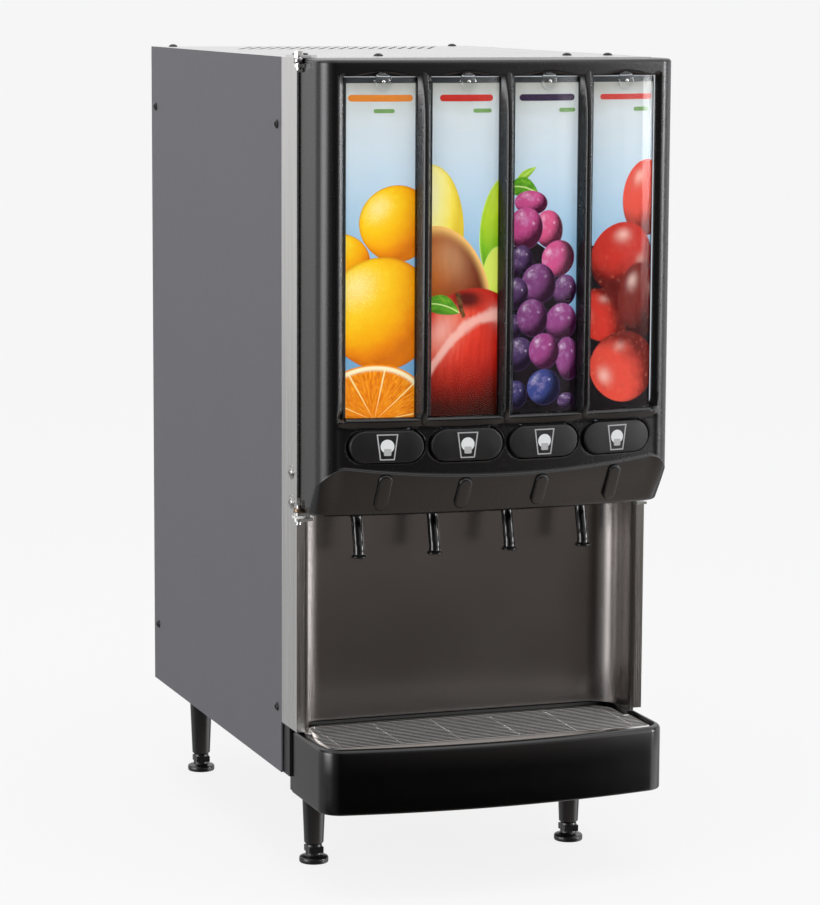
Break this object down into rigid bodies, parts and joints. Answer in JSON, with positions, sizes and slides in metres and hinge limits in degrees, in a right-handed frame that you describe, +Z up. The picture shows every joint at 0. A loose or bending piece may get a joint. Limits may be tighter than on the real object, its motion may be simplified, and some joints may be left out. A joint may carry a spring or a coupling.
{
  "type": "fountain drink dispenser",
  "caption": "Countertop refrigerated juice and drink dispenser with picture windows, push buttons, nozzles under a bowed door, stainless splash panel, drip tray and levelling legs.",
  "frame": {"origin": "on the worktop, under the middle of the whole object's bounding box", "axes": "+Z up, -Y towards the user (the door and drip tray face -Y), +X to the user's right"},
  "size_m": [0.388, 0.67, 0.853],
  "materials": {
    "grey_paint": "fine-textured grey powder coat, low sheen",
    "brushed_stainless": "brushed stainless sheet, horizontal grain on the splash panel",
    "zinc_plate": "bright zinc-plated sheet steel",
    "black_plastic": "moulded black plastic, satin with soft highlights",
    "gloss_black": "high-gloss black moulding",
    "textured_black": "fine-grained matt black keypad plastic",
    "clear_plastic": "clear curved acrylic over a backlit picture",
    "white_plastic": "white moulded plastic",
    "grey_rubber": "soft door seal",
    "copper": "bare copper tube",
    "black_enamel": "black enamelled steel",
    "aluminium": "plain aluminium",
    "brass": "machined brass",
    "circuit_board": "green circuit board"
  },
  "bodies": {
    "cabinet": {"left_side_panel": "grey_paint", "right_side_panel": "grey_paint", "rear_panel": "grey_paint", "front_frame": "brushed_stainless", "splash_panel": "brushed_stainless", "water_coil": "brushed_stainless", "top_panel": "zinc_plate", "control_box": "zinc_plate", "upper_hinge_bracket": "zinc_plate", "lower_hinge_bracket": "zinc_plate", "door_catch": "zinc_plate", "base_pan": "black_plastic", "pump_1": "black_plastic", "pump_2": "black_plastic", "pump_3": "black_plastic", "pump_4": "black_plastic", "power_cord": "black_plastic", "leg_front_left": "black_plastic", "leg_front_right": "black_plastic", "leg_rear_left": "black_plastic", "leg_rear_right": "black_plastic", "cold_liner": "white_plastic", "water_bath_tank": "white_plastic", "juice_container_1": "white_plastic", "juice_container_2": "white_plastic", "juice_container_3": "white_plastic", "juice_container_4": "white_plastic", "evaporator_coil": "copper", "compressor": "black_enamel", "fan_shroud": "black_enamel", "agitator_motor": "aluminium", "condenser": "aluminium", "water_inlet_valve": "brass"},
    "door": {"door_shell": "black_plastic", "door_liner": "zinc_plate", "door_gasket": "grey_rubber", "light_panel": "white_plastic", "switch_board": "circuit_board", "upper_door_arm": "zinc_plate", "lower_door_arm": "zinc_plate"},
    "button_1": {"push_button_1": "textured_black"},
    "window_1": {"window_lens_1": "clear_plastic"},
    "nozzle_1_body": {"nozzle_1": "gloss_black"},
    "button_2": {"push_button_2": "textured_black"},
    "window_2": {"window_lens_2": "clear_plastic"},
    "nozzle_2_body": {"nozzle_2": "gloss_black"},
    "button_3": {"push_button_3": "textured_black"},
    "window_3": {"window_lens_3": "clear_plastic"},
    "nozzle_3_body": {"nozzle_3": "gloss_black"},
    "button_4": {"push_button_4": "textured_black"},
    "window_4": {"window_lens_4": "clear_plastic"},
    "nozzle_4_body": {"nozzle_4": "gloss_black"},
    "tray": {"drip_tray": "black_plastic"},
    "grate": {"drip_grate": "brushed_stainless"},
    "foot_front_left_body": {"foot_front_left": "black_plastic"},
    "foot_front_right_body": {"foot_front_right": "black_plastic"},
    "foot_rear_left_body": {"foot_rear_left": "black_plastic"},
    "foot_rear_right_body": {"foot_rear_right": "black_plastic"},
    "fan": {"fan_blade": "black_plastic"},
    "agitator": {"agitator_impeller": "brushed_stainless"}
  },
  "joints": [
    {"name": "button_1_press", "type": "slide", "parent": "door", "child": "button_1", "axis": [0, 1, 0], "range_m": [0, 0.0025], "stiffness_N_per_m": 300},
    {"name": "button_2_press", "type": "slide", "parent": "door", "child": "button_2", "axis": [0, 1, 0], "range_m": [0, 0.0025], "stiffness_N_per_m": 300},
    {"name": "button_3_press", "type": "slide", "parent": "door", "child": "button_3", "axis": [0, 1, 0], "range_m": [0, 0.0025], "stiffness_N_per_m": 300},
    {"name": "button_4_press", "type": "slide", "parent": "door", "child": "button_4", "axis": [0, 1, 0], "range_m": [0, 0.0025], "stiffness_N_per_m": 300},
    {"name": "door_hinge", "type": "hinge", "parent": "cabinet", "child": "door", "pos_m": [-0.18885, -0.247, 0.618], "axis": [0, 0, -1], "range_deg": [0, 110]},
    {"name": "drip_grate_lift", "type": "slide", "parent": "tray", "child": "grate", "axis": [0, 0, 1], "range_m": [0, 0.04]},
    {"name": "drip_tray_pull", "type": "slide", "parent": "cabinet", "child": "tray", "axis": [0, -1, 0], "range_m": [0, 0.15]},
    {"name": "nozzle_1_pull", "type": "slide", "parent": "cabinet", "child": "nozzle_1_body", "axis": [0, -0.2538, -0.9673], "range_m": [0, 0.02]},
    {"name": "nozzle_2_pull", "type": "slide", "parent": "cabinet", "child": "nozzle_2_body", "axis": [0, -0.2538, -0.9673], "range_m": [0, 0.02]},
    {"name": "nozzle_3_pull", "type": "slide", "parent": "cabinet", "child": "nozzle_3_body", "axis": [0, -0.2538, -0.9673], "range_m": [0, 0.02]},
    {"name": "nozzle_4_pull", "type": "slide", "parent": "cabinet", "child": "nozzle_4_body", "axis": [0, -0.2538, -0.9673], "range_m": [0, 0.02]},
    {"name": "window_1_tilt", "type": "hinge", "parent": "door", "child": "window_1", "pos_m": [-0.12635, -0.31476, 0.492], "axis": [1, 0, 0], "range_deg": [0, 30]},
    {"name": "window_2_tilt", "type": "hinge", "parent": "door", "child": "window_2", "pos_m": [-0.04035, -0.32297, 0.492], "axis": [1, 0, 0], "range_deg": [0, 30]},
    {"name": "window_3_tilt", "type": "hinge", "parent": "door", "child": "window_3", "pos_m": [0.04565, -0.32297, 0.492], "axis": [1, 0, 0], "range_deg": [0, 30]},
    {"name": "window_4_tilt", "type": "hinge", "parent": "door", "child": "window_4", "pos_m": [0.13165, -0.31476, 0.492], "axis": [1, 0, 0], "range_deg": [0, 30]},
    {"name": "foot_front_left_level", "type": "slide", "parent": "cabinet", "child": "foot_front_left_body", "axis": [0, 0, -1], "range_m": [0, 0.02]},
    {"name": "foot_front_right_level", "type": "slide", "parent": "cabinet", "child": "foot_front_right_body", "axis": [0, 0, -1], "range_m": [0, 0.02]},
    {"name": "foot_rear_left_level", "type": "slide", "parent": "cabinet", "child": "foot_rear_left_body", "axis": [0, 0, -1], "range_m": [0, 0.02]},
    {"name": "foot_rear_right_level", "type": "slide", "parent": "cabinet", "child": "foot_rear_right_body", "axis": [0, 0, -1], "range_m": [0, 0.02]},
    {"name": "fan_spin", "type": "hinge", "parent": "cabinet", "child": "fan", "pos_m": [0.09265, 0.195, 0.22], "axis": [0, 1, 0], "continuous": true},
    {"name": "agitator_spin", "type": "hinge", "parent": "cabinet", "child": "agitator", "pos_m": [0.00265, 0.167, 0.49], "axis": [0, 0, 1], "continuous": true}
  ]
}
